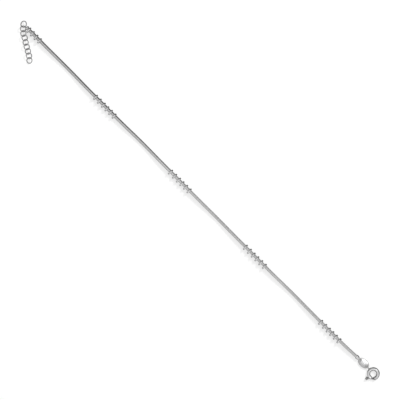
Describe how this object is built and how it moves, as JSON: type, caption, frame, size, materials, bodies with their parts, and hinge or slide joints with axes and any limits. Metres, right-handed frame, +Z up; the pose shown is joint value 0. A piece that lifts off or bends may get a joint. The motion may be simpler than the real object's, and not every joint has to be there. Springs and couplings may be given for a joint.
{
  "type": "payal anklet",
  "caption": "Open silver anklet: a round snake chain with groups of ring beads, an extender of round links, an oval tag and a sprung ring clasp.",
  "frame": {"origin": "middle of the bounding box, on the surface that the anklet lies on", "axes": "+X along the chain from the extender to the clasp, +Z up from the surface, +Y completes the frame"},
  "size_m": [0.2348, 0.015, 0.0029],
  "materials": {
    "chain_silver": "polished plated silver, closely set curved plates",
    "bead_silver": "mirror-polished plated silver",
    "link_silver": "polished plated silver wire",
    "cap_silver": "polished plated silver with a soldered loop",
    "tag_silver": "polished plated silver sheet, bare",
    "clasp_silver": "polished plated silver tube"
  },
  "bodies": {
    "anklet": {"clasp_end_cap": "cap_silver", "extender_end_cap": "cap_silver", "extender_link_1": "link_silver", "extender_link_2": "link_silver", "extender_link_3": "link_silver", "extender_link_4": "link_silver", "extender_link_5": "link_silver", "extender_link_6": "link_silver", "extender_link_7": "link_silver", "extender_link_8": "link_silver", "joint_ring": "link_silver", "quality_tag": "tag_silver", "ring_bead_1_1": "bead_silver", "ring_bead_1_2": "bead_silver", "ring_bead_1_3": "bead_silver", "ring_bead_1_4": "bead_silver", "ring_bead_2_1": "bead_silver", "ring_bead_2_2": "bead_silver", "ring_bead_2_3": "bead_silver", "ring_bead_2_4": "bead_silver", "ring_bead_2_5": "bead_silver", "ring_bead_2_6": "bead_silver", "ring_bead_3_1": "bead_silver", "ring_bead_3_2": "bead_silver", "ring_bead_3_3": "bead_silver", "ring_bead_3_4": "bead_silver", "ring_bead_3_5": "bead_silver", "ring_bead_3_6": "bead_silver", "ring_bead_4_1": "bead_silver", "ring_bead_4_2": "bead_silver", "ring_bead_4_3": "bead_silver", "ring_bead_4_4": "bead_silver", "ring_bead_4_5": "bead_silver", "ring_bead_4_6": "bead_silver", "ring_bead_5_1": "bead_silver", "ring_bead_5_2": "bead_silver", "ring_bead_5_3": "bead_silver", "ring_bead_5_4": "bead_silver", "ring_bead_5_5": "bead_silver", "ring_bead_5_6": "bead_silver", "snake_chain": "chain_silver", "spring_ring": "clasp_silver"},
    "trigger": {"clasp_bolt": "clasp_silver"}
  },
  "joints": [
    {"name": "trigger_slide", "type": "hinge", "parent": "anklet", "child": "trigger", "pos_m": [0.11439, 0.00451, 0.00077], "axis": [0, 0, -1], "range_deg": [0, 42], "stiffness_Nm_per_rad": 0.004, "springref_deg": -28.65}
  ]
}
